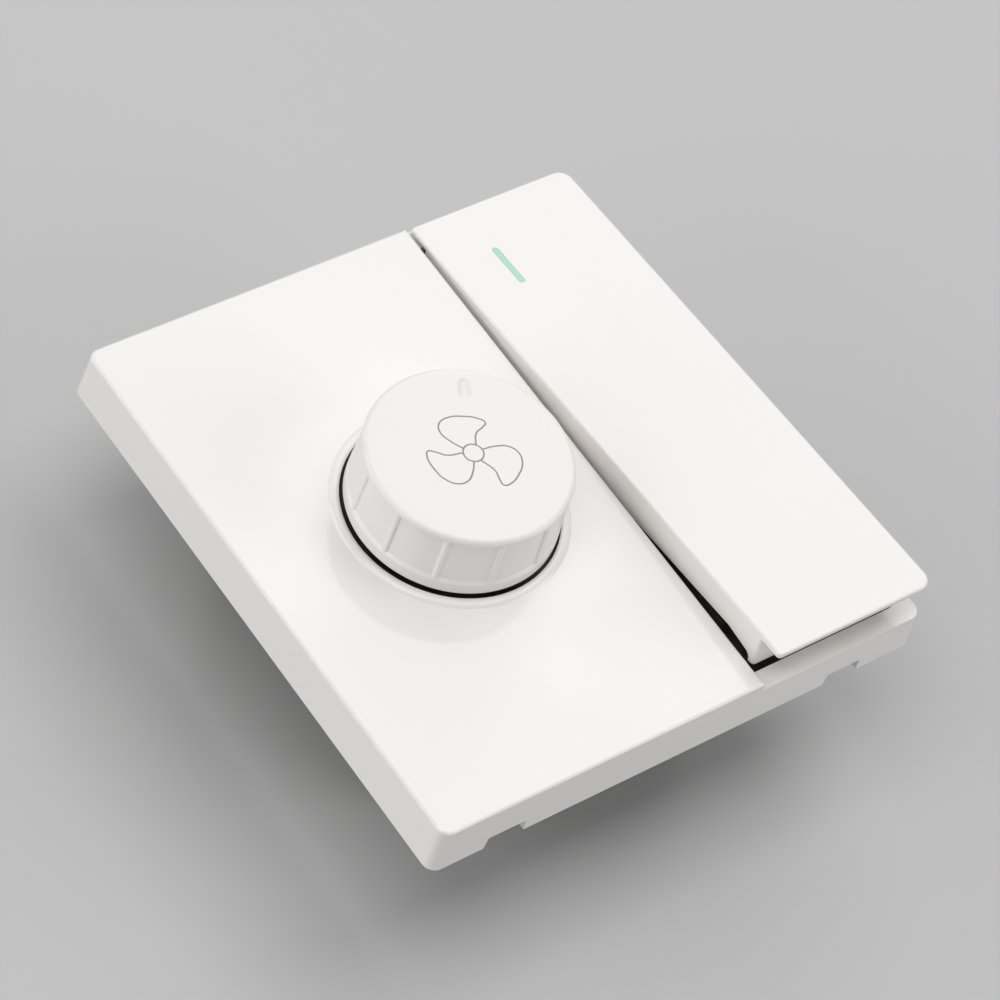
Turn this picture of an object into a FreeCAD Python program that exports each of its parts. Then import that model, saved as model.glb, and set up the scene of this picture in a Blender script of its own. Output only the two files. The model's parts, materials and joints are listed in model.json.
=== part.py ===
import FreeCAD, Part
import math
import os

# Fan speed control switch: a wall plate with a rotary speed knob and one long rocker.
# Millimetres. +X runs right and +Y up the wall plate, +Z out of the wall.
# The origin is the middle of the plate in the plane of the wall.

# Wall plate cover
plate_width = 86.0
plate_height = 90.0
plate_depth = 8.0
plate_draft = 0.5
plate_corner = 1.9
cover_inner_corner = 0.6
edge_round = 0.45
cover_wall = 1.8
cover_skin = 1.6
split_x = 13.0
ledge_drop = 1.3
ledge_dip = 0.35
ledge_skin = 1.5
ledge_end_width = 3.5
ledge_side_width = 3.1
divider_wall = 1.4
opening_corner = 1.0
sharp_corner = 0.1

# Prying notches in the lower edge and the hooks that hold the cover
notch_height = 2.1
notch_slant = 0.4
left_notch_start = 9.0
left_notch_width = 6.8
right_notch_end = 10.6
right_notch_width = 6.4
hook_bite = 0.7
hook_length = 6.0
hook_height = 1.6
hook_root = 0.6
hook_offset = 20.0

# Knob collar
knob_x = -10.2
knob_y = 0.0
collar_gap = 0.4
collar_wall = 1.5
collar_rise = 0.45
collar_edge_drop = 0.12
collar_crest_place = 0.35
collar_foot_depth = 0.4
collar_step = 0.3
sleeve_clearance = 0.3

# Speed knob
knob_base_radius = 15.5
knob_top_radius = 15.1
knob_lift = 0.95
knob_top_stand = 12.1
knob_wall = 1.6
knob_roof = 1.9
knob_round = 0.8
hub_radius = 5.2
hub_rib_width = 1.0
hub_rib_count = 6
hub_rib_drop = 3.0
hub_mouth_gap = 0.4
socket_play = 0.1
grip_count = 12
grip_rib_radius = 0.55
grip_rib_sink = 0.04
grip_slope = 0.5
grip_depth = 0.4
grip_band_low = 1.7
grip_band_high = 1.0
pointer_from = 10.6
pointer_to = 13.0
pointer_ball = 1.6
pointer_depth = 0.35
clip_thickness = 0.3
clip_width = 3.0
clip_length = 5.0
clip_play = 0.06

# Rest position of the knob, clockwise from straight up, and its travel each way from straight up
knob_rest_turn = -31.0

# Rocker
rocker_gap = 0.94
rocker_end_inset = 0.65
rocker_lip = 0.8
rocker_plate = 1.6
rocker_stand = 2.7
rocker_corner = 2.2
rocker_inner_corner = 0.6
rocker_round = 0.35
rocker_tilt = 3.8
skirt_end_inset = 3.75
skirt_side_inset = 3.3
skirt_wall = 1.2
skirt_depth = 4.4
skirt_belly = 5.6
foot_depth = 6.4
foot_length = 1.1
foot_step = 1.0
foot_rise = 1.3
foot_slope = 4.1
rocker_rib_offset = 14.0
rocker_rib_depth = 1.8
rocker_rib_wall = 1.0
skirt_corner = 1.5
room_corner = 0.8
lens_flange_width = 2.8
lens_flange_reach = 0.9
lens_length = 7.5
lens_width = 1.05
lens_side_inset = 8.96
lens_end_inset = 12.4
lens_flange = 0.8
lens_clearance = 0.05

# Rocker carrier and its pivot
pivot_height = 6.6
pivot_radius = 1.2
pivot_clearance = 0.05
carrier_inset = 6.56
carrier_width = 7.2
carrier_half_length = 8.0
carrier_plate = 1.2
cheek_wall = 1.2
cheek_half_length = 2.6
cheek_drop = 1.35
post_wall = 1.2
post_gap = 0.2
post_half_length = 3.0
tube_radius = 2.5
tube_wall = 0.75
tube_bottom = -1.0
tube_roof = 1.0
clip_wall = 1.0
clip_lip = 0.5
clip_gap = 0.1
clip_depth = 0.7
clip_inset = 0.8
clip_lead = 0.3

# Plunger and spring
plunger_clearance = 0.08
plunger_length = 5.6
spring_wire = 0.35
spring_turns = 6
spring_clearance = 0.15
tip_clearance = 0.3

# Seesaw contact
seesaw_height = -5.0
seesaw_thickness = 0.8
seesaw_half_length = 9.0
seesaw_width = 4.0
seesaw_arm_rise = 0.35
seesaw_arm_start = 3.0
seesaw_seat_half = 1.2
seesaw_dent_half = 0.6
seesaw_tilt = 7.0
fulcrum_radius = 0.5
fulcrum_clearance = 0.06
rivet_offset = 7.4
rivet_radius = 1.3
rivet_height = 0.5
contact_gap = 0.15
contact_thickness = 0.8
contact_reach = 2.2
contact_foot_end = 1.5
common_foot_half = 2.5

# Mounting frame
frame_gap = 0.4
frame_floor = 1.2
frame_corner = 2.0
frame_rim_wall = 1.0
frame_rim_height = 2.2
platform_side_margin = 0.6
platform_end_margin = 0.4
platform_top = 5.0
platform_skin = 1.6
groove_top = 2.8
groove_clearance = 0.35
ear_spacing = 60.3
ear_slot_length = 7.0
ear_hole_radius = 2.2
ear_thickness = 2.4
ear_half_length = 6.5
catch_height = 4.2
catch_wall = 1.0
catch_lip = 1.2
catch_clearance = 0.15
frame_window_width = 7.0
frame_window_start = 12.0
frame_window_end = 36.0
frame_window_corner = 1.0
platform_corner = 1.5
screw_boss_radius = 3.2
tube_swing = 0.6

# Rear housing
carrier_room = 2.9
housing_half_length = 26.0
housing_depth = 25.0
housing_wall = 1.6
housing_corner = 2.0
housing_round = 0.8
switch_room_width = 10.6
partition_wall = 1.2
ear_boss_inset = 6.0
ear_boss_reach = 3.0
housing_ear_thickness = 2.0
housing_ear_half_width = 3.4
housing_ear_end = 3.0
housing_ear_corner = 0.9
screw_radius = 1.25
screw_hole_radius = 1.6
screw_pilot_clearance = 0.05
screw_head_radius = 2.7
screw_head_height = 1.6
screw_reach = 2.8
pilot_spare = 0.4
screw_head_round = 0.5
cross_slot_share = 0.6
slot_width = 0.7
slot_depth = 0.6
vent_count = 6
vent_width = 1.2
vent_length = 11.0
vent_pitch = 2.6
vent_x = -2.0
vent_y = 3.0

# Wire clamps
clamp_length = 7.0
clamp_width = 7.0
clamp_height = 8.0
clamp_post_gap = 0.3
wire_inset = 4.4
wire_radius = 1.5
wire_depth = 7.0
wire_hole_radius = 2.1
wire_funnel = 0.6
clamp_screw_radius = 1.35
clamp_screw_clearance = 0.05
clamp_screw_drop = 2.8
clamp_screw_head_radius = 2.6
clamp_screw_head_clearance = 0.4
clamp_screw_retreat = 0.1
clamp_tail_width = 2.0
clamp_tail_thickness = 0.8
clamp_tail_reach = 0.8

# Circuit board
board_top = -8.0
board_thickness = 1.6
board_clearance = 0.4
board_post = 3.6
board_screw_radius = 0.9
board_screw_head = 1.7
board_screw_head_height = 1.2
board_screw_length = 5.0
board_screw_slot = 0.5
board_screw_clearance = 0.2
board_corner = 0.6
tail_clearance = 0.15

# Potentiometer
pot_radius = 8.0
pot_wall = 0.7
pot_depth = 7.2
pot_plate = 0.8
bush_radius = 3.5
bush_stand = 4.2
bush_clearance = 0.05
bush_chamfer = 0.4
shaft_radius = 3.0
shaft_clearance = 0.05
shaft_flat = 1.5
shaft_top_gap = 0.4
flat_start = 0.6
shaft_collar_radius = 4.2
shaft_collar_height = 1.4
shaft_collar_gap = 0.1
shaft_chamfer = 0.5
washer_radius = 6.0
washer_height = 0.6
nut_across = 10.0
nut_height = 2.0
nut_crown = 0.3
track_thickness = 1.2
track_inner = 4.4
track_outer = 6.4
track_film = 0.2
track_fit = 0.05
track_bore = 2.4
track_gap = 60.0
wiper_hub_radius = 4.0
wiper_height = 1.2
wiper_clearance = 0.05
wiper_width = 2.2
wiper_reach = 6.2
wiper_finger_width = 1.6
wiper_finger_gap = 0.4
wiper_finger_depth = 2.1
stop_width = 2.4
stop_depth = 1.0
stop_root = 0.3
stop_height = 1.4
pin_pitch = 5.0
pin_width = 1.2
pin_thickness = 0.6
pin_height = 1.4
pin_reach = 0.8

# Parts under and on the board
choke_outer = 8.5
choke_inner = 4.2
choke_height = 7.0
choke_wire = 0.75
choke_turns = 16
choke_fit = 0.05
choke_chamfer = 0.5
input_capacitor_size = (17.5, 6.0)
input_capacitor_floor_gap = 1.8
timing_capacitor_size = (12.0, 4.0)
timing_capacitor_height = 9.0
capacitor_corner = 0.5
sink_left_margin = 5.8
sink_right_margin = 2.0
sink_thickness = 1.4
sink_floor_gap = 0.8
sink_gap_to_wall = 0.9
sink_foot = 7.0
triac_width = 8.0
triac_foot_gap = 0.2
triac_thickness = 3.2
triac_lead_pitch = 2.3
triac_lead_width = 0.8
triac_lead_thickness = 0.5
triac_drop = 1.8
triac_screw_lift = 2.8
sink_screw_radius = 1.2
sink_screw_head = 2.3
sink_screw_head_height = 1.4
sink_hole_clearance = 0.1
sink_nut_clearance = 0.02
sink_nut_across = 5.0
sink_nut_height = 0.8
resistor_radius = 1.2
resistor_length = 6.5
resistor_lead = 0.3
lead_reach = 1.4
lead_bend = 0.8
resistor_offset = 6.0
resistor_row_shares = (-0.625, -0.375, 0.375, 0.625)
resistor_lift = 1.6
diode_radius = 0.9
diode_length = 3.6
diode_x = -0.5
diode_row_share = 0.5
fuse_radius = 2.5
fuse_length = 20.0
fuse_cap_length = 5.0
fuse_cap_wall = 0.2
fuse_lift = 3.4
fuse_clip_width = 3.6
fuse_clip_wall = 0.5
fuse_clip_stem = 2.4
fuse_clip_mouth = 0.55
fuse_tube_inset = 0.3
fuse_fit = 0.02

# How far fused pieces reach into each other
overlap = 0.1

# Places worked out from the sizes above
half_width = plate_width / 2
half_height = plate_height / 2
ledge_z = plate_depth - ledge_drop
ledge_under = ledge_z - ledge_skin
opening_right = half_width - ledge_side_width
opening_half = half_height - ledge_end_width
collar_radius = knob_base_radius + collar_gap
knob_bottom = plate_depth + knob_lift
knob_top = plate_depth + knob_top_stand
rocker_left = split_x + rocker_gap
rocker_length = plate_height - 2 * rocker_end_inset
rocker_right = half_width - plate_draft
rocker_top = plate_depth + rocker_stand
rocker_under = rocker_top - rocker_plate
skirt_right = rocker_right - skirt_side_inset
skirt_half = rocker_length / 2 - skirt_end_inset
lens_x = rocker_left + lens_side_inset
lens_y = rocker_length / 2 - lens_end_inset
carrier_x = rocker_left + carrier_inset
carrier_left = carrier_x - carrier_width / 2
carrier_right = carrier_x + carrier_width / 2
frame_half_width = half_width - cover_wall - frame_gap
frame_half_height = half_height - cover_wall - frame_gap
platform_under = platform_top - platform_skin
inner_half_width = carrier_x + carrier_room
housing_half_width = inner_half_width + housing_wall
inner_half_length = housing_half_length - housing_wall
floor_z = -housing_depth + housing_wall
partition_right = inner_half_width - switch_room_width
partition_left = partition_right - partition_wall
ear_boss_x = housing_half_width - ear_boss_inset
ear_boss_y = housing_half_length + ear_boss_reach
platform_half_width = housing_half_width + platform_side_margin
platform_half_length = ear_boss_y + housing_ear_end + platform_end_margin
board_bottom = board_top - board_thickness
clamp_top = floor_z + clamp_height
clamp_x = inner_half_width - wire_inset
clamp_row_left = inner_half_length - board_post - clamp_post_gap - clamp_width / 2
clamp_row_right = (rivet_offset + contact_reach + inner_half_length) / 2
under_board_x = (partition_left - clamp_x + clamp_width / 2) / 2
fuse_x = (knob_x + pot_radius + partition_left) / 2
sink_left = -inner_half_width + board_post + sink_left_margin
sink_right = partition_left - board_post - sink_right_margin
triac_x = (sink_left + sink_right) / 2
sink_bottom = floor_z + sink_floor_gap
choke_span = 2 * (choke_outer + choke_fit + choke_wire)
under_board_row = (
    choke_span,
    input_capacitor_size[1],
    timing_capacitor_size[1],
    sink_foot + sink_gap_to_wall,
)
row_gap = (2 * inner_half_length - sum(under_board_row)) / len(under_board_row)
choke_y = -inner_half_length + row_gap + choke_span / 2
input_capacitor_y = choke_y + choke_span / 2 + row_gap + input_capacitor_size[1] / 2
timing_capacitor_y = input_capacitor_y + row_gap + (input_capacitor_size[1] + timing_capacitor_size[1]) / 2
input_capacitor_height = board_bottom - floor_z - input_capacitor_floor_gap
board_row_start = knob_y + pot_radius
board_row_length = inner_half_length - board_clearance - board_row_start
clamp_screw_z = floor_z + wire_depth - clamp_screw_drop + clamp_screw_radius
pot_top = platform_under
pot_floor = pot_top - pot_plate - pot_depth
shaft_top = knob_top - knob_roof - shaft_top_gap
bush_top = platform_top + bush_stand
plunger_radius = tube_radius - tube_wall - plunger_clearance
plunger_tip = seesaw_height + tip_clearance
plunger_top = plunger_tip + plunger_length
tube_ceiling = rocker_under - carrier_plate - tube_roof
seesaw_pivot = seesaw_height - seesaw_thickness


def vec(x, y, z):
    return FreeCAD.Vector(x, y, z)


def box(x0, x1, y0, y1, z0, z1):
    return Part.makeBox(x1 - x0, y1 - y0, z1 - z0, vec(x0, y0, z0))


def rod(x, y, z0, z1, radius):
    return Part.makeCylinder(radius, z1 - z0, vec(x, y, z0))


def rod_x(x0, x1, y, z, radius):
    return Part.makeCylinder(radius, x1 - x0, vec(x0, y, z), vec(1, 0, 0))


def rod_y(x, y0, y1, z, radius):
    return Part.makeCylinder(radius, y1 - y0, vec(x, y0, z), vec(0, 1, 0))


def tube(x, y, z0, z1, outer, inner):
    return rod(x, y, z0, z1, outer).cut(rod(x, y, z0 - 1, z1 + 1, inner))


def corner_arc(cx, cy, z, radius, start):
    # A quarter circle as three points, from the start angle counter-clockwise.
    points = []
    for step in (0, 45, 90):
        angle = math.radians(start + step)
        points.append(vec(cx + radius * math.cos(angle), cy + radius * math.sin(angle), z))
    return points


def outline(x0, x1, y0, y1, z, radii):
    # A rounded rectangle; radii go lower left, lower right, upper right, upper left.
    corners = (
        (x0 + radii[0], y0 + radii[0], 180),
        (x1 - radii[1], y0 + radii[1], 270),
        (x1 - radii[2], y1 - radii[2], 0),
        (x0 + radii[3], y1 - radii[3], 90),
    )
    arcs = [corner_arc(cx, cy, z, r, start) for (cx, cy, start), r in zip(corners, radii)]
    edges = []
    for index, arc in enumerate(arcs):
        edges.append(Part.Arc(arc[0], arc[1], arc[2]).toShape())
        edges.append(Part.LineSegment(arc[2], arcs[(index + 1) % 4][0]).toShape())
    return Part.Wire(edges)


def slab(x0, x1, y0, y1, z0, z1, radii):
    if not isinstance(radii, tuple):
        radii = (radii, radii, radii, radii)
    return Part.Face(outline(x0, x1, y0, y1, z0, radii)).extrude(vec(0, 0, z1 - z0))


def drafted_slab(half_x, half_y, z0, z1, inset, radius):
    # Straight-sided block whose top is smaller by the inset on every side.
    foot = outline(-half_x, half_x, -half_y, half_y, z0, (radius,) * 4)
    top = outline(-half_x + inset, half_x - inset, -half_y + inset, half_y - inset, z1, (radius,) * 4)
    return Part.makeLoft([foot, top], True, True)


def closed_face(points):
    return Part.Face(Part.makePolygon(points + [points[0]]))


def prism_x(points, x0, x1):
    # Points are (y, z) pairs.
    return closed_face([vec(x0, y, z) for y, z in points]).extrude(vec(x1 - x0, 0, 0))


def prism_y(points, y0, y1):
    # Points are (x, z) pairs.
    return closed_face([vec(x, y0, z) for x, z in points]).extrude(vec(0, y1 - y0, 0))


def hexagon(x, y, z0, z1, across):
    radius = across / math.sqrt(3)
    points = [
        vec(x + radius * math.cos(math.radians(60 * k)), y + radius * math.sin(math.radians(60 * k)), z0)
        for k in range(6)
    ]
    return closed_face(points).extrude(vec(0, 0, z1 - z0))


def joined(shapes):
    return shapes[0].multiFuse(shapes[1:]).removeSplitter()


def mirrored_x(shape):
    return shape.mirror(vec(0, 0, 0), vec(1, 0, 0))


def mirrored_y(shape):
    return shape.mirror(vec(0, 0, 0), vec(0, 1, 0))


def edges_at(shape, z):
    # All edges that lie flat at height z.
    return [e for e in shape.Edges if all(abs(v.Point.z - z) < 1e-4 for v in e.Vertexes)
            and abs(e.BoundBox.ZMax - z) < 1e-3 and abs(e.BoundBox.ZMin - z) < 1e-3]


def tilted(shape, angle, height):
    # Turned about the line along X at y = 0 and the given height.
    copy = shape.copy()
    copy.rotate(vec(0, 0, height), vec(1, 0, 0), angle)
    return copy


def turned(shape):
    # From the knob's straight-up position to its rest position.
    copy = shape.copy()
    copy.rotate(vec(knob_x, knob_y, 0), vec(0, 0, 1), knob_rest_turn)
    return copy


def spun(shape, x, y, angle):
    copy = shape.copy()
    copy.rotate(vec(x, y, 0), vec(0, 0, 1), angle)
    return copy


def ledge_cutter():
    # Clears the rocker zone: upright above the ledge, then dipping to the opening.
    far = half_width + 1
    upper = box(split_x, far, -far - 3, far + 3, ledge_z, plate_depth + 1)
    half_y = half_height - plate_draft
    rim = outline(split_x, half_width - plate_draft, -half_y, half_y, ledge_z,
                  (sharp_corner, plate_corner, plate_corner, sharp_corner))
    low = outline(split_x, opening_right, -opening_half, opening_half, ledge_z - ledge_dip,
                  (sharp_corner, opening_corner, opening_corner, sharp_corner))
    return upper.fuse(Part.makeLoft([rim, low], True, True))


def cover_shell():
    body = drafted_slab(half_width, half_height, 0, plate_depth, plate_draft, plate_corner)
    body = body.cut(ledge_cutter())
    body = body.makeFillet(edge_round, edges_at(body, plate_depth))
    room = drafted_slab(half_width - cover_wall, half_height - cover_wall, 0,
                        plate_depth - cover_skin, plate_draft, cover_inner_corner)
    roof_start = split_x - divider_wall
    far = half_height + 1
    room = room.cut(box(roof_start, far, -far, far, ledge_under, plate_depth))
    window = slab(split_x, opening_right, -opening_half, opening_half, -1, plate_depth,
                  (sharp_corner, opening_corner, opening_corner, sharp_corner))
    return body.cut([room, window])


def collar():
    # Rounded bead on the panel round the knob, with its sleeve below.
    outer = collar_radius + collar_wall
    crest = plate_depth + collar_rise
    inner_edge = vec(knob_x + collar_radius, knob_y, crest - collar_edge_drop)
    middle = vec(knob_x + collar_radius + collar_wall * collar_crest_place, knob_y, crest)
    outer_edge = vec(knob_x + outer, knob_y, plate_depth)
    foot = platform_top + sleeve_clearance
    sleeve_outer = outer - collar_step
    low_out = vec(knob_x + outer, knob_y, plate_depth - collar_foot_depth)
    step = vec(knob_x + sleeve_outer, knob_y, plate_depth - collar_foot_depth)
    bottom_out = vec(knob_x + sleeve_outer, knob_y, foot)
    bottom_in = vec(knob_x + collar_radius, knob_y, foot)
    edges = [Part.Arc(inner_edge, middle, outer_edge).toShape()]
    path = [outer_edge, low_out, step, bottom_out, bottom_in, inner_edge]
    for start, end in zip(path, path[1:]):
        edges.append(Part.LineSegment(start, end).toShape())
    ring = Part.Face(Part.Wire(edges))
    return ring.revolve(vec(knob_x, knob_y, 0), vec(0, 0, 1), 360)


def notch(x0, x1):
    points = [(x0, -1), (x1, -1), (x1, notch_height), (x0 + notch_slant, notch_height), (x0, 0)]
    return prism_y(points, -half_height - 1, -half_height + cover_wall + 1)


def cover_hook(x):
    # Wedge on the inside of the upper wall; its flat top grips the frame's catch.
    face = half_height - cover_wall
    top = catch_height - catch_lip - catch_clearance
    points = [(face + hook_root, top), (face - hook_bite, top), (face + hook_root, top - hook_height)]
    return prism_x(points, x - hook_length / 2, x + hook_length / 2)


def front_cover():
    shell = cover_shell()
    bore = rod(knob_x, knob_y, 0, plate_depth + 1, collar_radius)
    shell = shell.cut(bore).fuse(collar())
    hooks = []
    for x in (-hook_offset, hook_offset):
        hooks.append(cover_hook(x))
        hooks.append(mirrored_y(cover_hook(x)))
    shell = shell.multiFuse(hooks)
    left = -half_width + left_notch_start
    right = half_width - right_notch_end
    notches = [notch(left, left + left_notch_width), notch(right - right_notch_width, right)]
    return shell.cut(notches).removeSplitter()


def frame_catch(x):
    # Upright tab with an outward lip that the cover's hook slips under.
    face = half_height - cover_wall - hook_bite - catch_clearance
    out = half_height - cover_wall - frame_gap
    lip_z = catch_height - catch_lip
    points = [(face - catch_wall, 0), (face, 0), (face, lip_z), (out, lip_z),
              (face, catch_height), (face - catch_wall, catch_height)]
    return prism_x(points, x - hook_length / 2, x + hook_length / 2)


def ear_slot(x):
    reach = ear_slot_length / 2 - ear_hole_radius
    ends = [rod(x - reach, 0, -1, ear_thickness + 1, ear_hole_radius),
            rod(x + reach, 0, -1, ear_thickness + 1, ear_hole_radius)]
    bar = box(x - reach, x + reach, -ear_hole_radius, ear_hole_radius, -1, ear_thickness + 1)
    return joined([ends[0], bar, ends[1]])


def pivot_post(x0):
    # Upright with an open-topped slot that the carrier's pivot snaps into.
    top = pivot_height + pivot_radius
    post = box(x0, x0 + post_wall, -post_half_length, post_half_length, platform_under, top)
    radius = pivot_radius + pivot_clearance
    seat = rod_x(x0 - 1, x0 + post_wall + 1, 0, pivot_height, radius)
    throat = box(x0 - 1, x0 + post_wall + 1, -radius, radius, pivot_height, top + 1)
    return post.cut([seat, throat])


def frame_rooms():
    # What is hollow behind the platform: the control's room, the switch's room and the screw cells.
    left = box(-inner_half_width, partition_left, -inner_half_length, inner_half_length, -1, platform_under)
    wall = split_x + rocker_gap + skirt_wall + groove_clearance + platform_skin
    right = box(wall, inner_half_width, -inner_half_length, inner_half_length, -1, platform_under)
    rooms = [left, right]
    outer = platform_half_length - platform_skin
    for side in (-1, 1):
        low = min(side * housing_half_length, side * outer)
        high = low + outer - housing_half_length
        cell = box(-inner_half_width, partition_left, low, high, -1, platform_under)
        rooms.append(cell)
    return rooms


def ear_places():
    return [(sx * ear_boss_x, sy * ear_boss_y) for sx in (-1, 1) for sy in (-1, 1)]


def ear_pad(side):
    # Thick pad from the platform to the rim, round one of the box-screw slots.
    pad = box(platform_half_width - overlap, frame_half_width - frame_rim_wall / 2,
              -ear_half_length, ear_half_length, 0, ear_thickness)
    return pad if side > 0 else mirrored_x(pad)


def mounting_frame():
    base = slab(-frame_half_width, frame_half_width, -frame_half_height, frame_half_height,
                0, frame_rim_height, frame_corner)
    tray = slab(-frame_half_width + frame_rim_wall, frame_half_width - frame_rim_wall,
                -frame_half_height + frame_rim_wall, frame_half_height - frame_rim_wall,
                frame_floor, frame_rim_height + 1, frame_corner - frame_rim_wall)
    base = base.cut(tray)
    platform = slab(-platform_half_width, platform_half_width, -platform_half_length,
                    platform_half_length, 0, platform_top, platform_corner)
    groove_end = split_x + rocker_gap + skirt_wall + groove_clearance
    groove = box(split_x, groove_end, -half_height, half_height, groove_top, platform_top + 1)
    platform = platform.cut(groove)
    parts = [base, platform]
    for side in (-1, 1):
        parts.append(ear_pad(side))
        for y_side in (-1, 1):
            catch = frame_catch(side * hook_offset)
            parts.append(catch if y_side > 0 else mirrored_y(catch))
    parts.append(pivot_post(carrier_left - post_gap - post_wall))
    parts.append(pivot_post(carrier_right + post_gap))
    frame = parts[0].multiFuse(parts[1:])
    frame = frame.cut(frame_rooms())
    bosses = [rod(x, y, 0, platform_under + overlap, screw_boss_radius) for x, y in ear_places()]
    frame = frame.multiFuse(bosses)
    cuts = [ear_slot(-ear_spacing / 2), ear_slot(ear_spacing / 2)]
    cuts.append(rod(knob_x, knob_y, 0, platform_top + 1, bush_radius + bush_clearance))
    opening = tube_radius + groove_clearance
    cuts.append(box(carrier_x - opening, carrier_x + opening, -opening - tube_swing, opening + tube_swing,
                    0, platform_top + 1))
    pilot = screw_radius + screw_pilot_clearance
    cuts += [rod(x, y, -1, screw_reach + pilot_spare, pilot) for x, y in ear_places()]
    window_x = (platform_half_width + frame_half_width) / 2
    for sx in (-1, 1):
        for sy in (-1, 1):
            low = min(sy * frame_window_start, sy * frame_window_end)
            x0 = sx * window_x - frame_window_width / 2
            length = frame_window_end - frame_window_start
            cuts.append(slab(x0, x0 + frame_window_width, low, low + length, -1, frame_floor + 1,
                             frame_window_corner))
    return frame.cut(cuts).removeSplitter()


def wire_places():
    left = [(-1, -clamp_row_left), (-1, clamp_row_left)]
    right = [(1, -clamp_row_right), (1, 0), (1, clamp_row_right)]
    return left, right


def housing_ear(x, y):
    side = 1 if y > 0 else -1
    low = min(side * (housing_half_length - 1), side * (ear_boss_y + housing_ear_end))
    length = ear_boss_y + housing_ear_end - housing_half_length + 1
    ear = slab(x - housing_ear_half_width, x + housing_ear_half_width, low, low + length,
               -housing_ear_thickness, 0, housing_ear_corner)
    return ear.cut(rod(x, y, -housing_ear_thickness - 1, 1, screw_hole_radius))


def wire_entry(side, y):
    # Funnelled hole in the floor of the housing.
    x = side * clamp_x
    mouth = -housing_depth
    funnel = Part.makeCone(wire_hole_radius + wire_funnel, wire_hole_radius, wire_funnel, vec(x, y, mouth))
    return rod(x, y, mouth - 1, floor_z + overlap, wire_hole_radius).fuse(funnel)


def screw_window(side, y):
    radius = clamp_screw_head_radius + clamp_screw_head_clearance
    hole = rod_x(inner_half_width - 1, housing_half_width + 1, y, clamp_screw_z, radius)
    return hole if side > 0 else mirrored_x(hole)


def board_posts():
    x_left = -inner_half_width
    x_right = partition_left - board_post
    y_low = -inner_half_length
    y_high = inner_half_length - board_post
    posts = []
    for x in (x_left, x_right):
        for y in (y_low, y_high):
            posts.append(box(x, x + board_post, y, y + board_post, floor_z, board_bottom))
    return posts


def board_screw_places():
    half = board_post / 2
    low = (-inner_half_width + half, -inner_half_length + half)
    high = (partition_left - half, inner_half_length - half)
    return [low, high]


def contact_posts():
    # Pillars under the two fixed contacts.
    top = fixed_contact_top() - contact_thickness
    outer = rivet_offset + contact_reach
    posts = []
    for side in (-1, 1):
        low = min(side * (rivet_offset - contact_reach), side * outer)
        posts.append(box(carrier_x - seesaw_width / 2, carrier_x + seesaw_width / 2,
                         low, low + 2 * contact_reach, floor_z, top))
    return posts


def vents():
    slots = []
    for k in range(vent_count):
        x = vent_x + (k - (vent_count - 1) / 2) * vent_pitch
        slots.append(slab(x - vent_width / 2, x + vent_width / 2, vent_y - vent_length / 2,
                          vent_y + vent_length / 2, -housing_depth - 1, floor_z + 1, vent_width / 2 - 0.01))
    return slots


def rear_housing():
    shell = slab(-housing_half_width, housing_half_width, -housing_half_length, housing_half_length,
                 -housing_depth, 0, housing_corner)
    shell = shell.makeFillet(housing_round, edges_at(shell, -housing_depth))
    left = box(-inner_half_width, partition_left, -inner_half_length, inner_half_length, floor_z, 1)
    right = box(partition_right, inner_half_width, -inner_half_length, inner_half_length, floor_z, 1)
    shell = shell.cut([left, right])
    additions = board_posts() + contact_posts() + [housing_ear(x, y) for x, y in ear_places()]
    shell = shell.multiFuse(additions)
    left_places, right_places = wire_places()
    cuts = vents()
    for side, y in left_places + right_places:
        cuts.append(wire_entry(side, y))
        cuts.append(screw_window(side, y))
    for x, y in board_screw_places():
        pilot = board_screw_radius + screw_pilot_clearance
        cuts.append(rod(x, y, board_bottom - board_screw_length, board_bottom + 1, pilot))
    return shell.cut(cuts).removeSplitter()


def housing_screw(x, y):
    head_z = -housing_ear_thickness
    head = rod(x, y, head_z - screw_head_height, head_z, screw_head_radius)
    head = head.makeFillet(screw_head_round, edges_at(head, head_z - screw_head_height))
    shank = rod(x, y, head_z - overlap, screw_reach, screw_radius)
    base = head_z - screw_head_height
    reach = screw_head_radius * cross_slot_share
    across = box(x - reach, x + reach, y - slot_width / 2, y + slot_width / 2, base - 1, base + slot_depth)
    along = box(x - slot_width / 2, x + slot_width / 2, y - reach, y + reach, base - 1, base + slot_depth)
    return joined([head, shank]).cut([across, along])


def wire_clamp(side, y):
    # Brass block with a blind wire hole from behind and a screw hole from the side.
    block = box(inner_half_width - clamp_length, inner_half_width, y - clamp_width / 2,
                y + clamp_width / 2, floor_z, clamp_top)
    wire = rod(clamp_x, y, floor_z - 1, floor_z + wire_depth, wire_radius)
    thread_radius = clamp_screw_radius + clamp_screw_clearance
    thread = rod_x(clamp_x, inner_half_width + 1, y, clamp_screw_z, thread_radius)
    block = block.cut([wire, thread])
    if side < 0:
        half_x = clamp_tail_width / 2
        half_y = clamp_tail_thickness / 2
        tail = box(clamp_x - half_x, clamp_x + half_x, y - half_y, y + half_y,
                   clamp_top - overlap, board_top + clamp_tail_reach)
        return mirrored_x(block.fuse(tail))
    return block


def clamp_screw(side, y):
    # Backed off, so that the wire hole is open.
    tip = clamp_x + wire_radius + clamp_screw_retreat
    shank = rod_x(tip, inner_half_width + overlap, y, clamp_screw_z, clamp_screw_radius)
    head = rod_x(inner_half_width, housing_half_width, y, clamp_screw_z, clamp_screw_head_radius)
    reach = clamp_screw_head_radius + 1
    groove = box(housing_half_width - slot_depth, housing_half_width + 1, y - reach, y + reach,
                 clamp_screw_z - slot_width / 2, clamp_screw_z + slot_width / 2)
    screw = joined([head, shank]).cut(groove)
    return screw if side > 0 else mirrored_x(screw)


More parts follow.
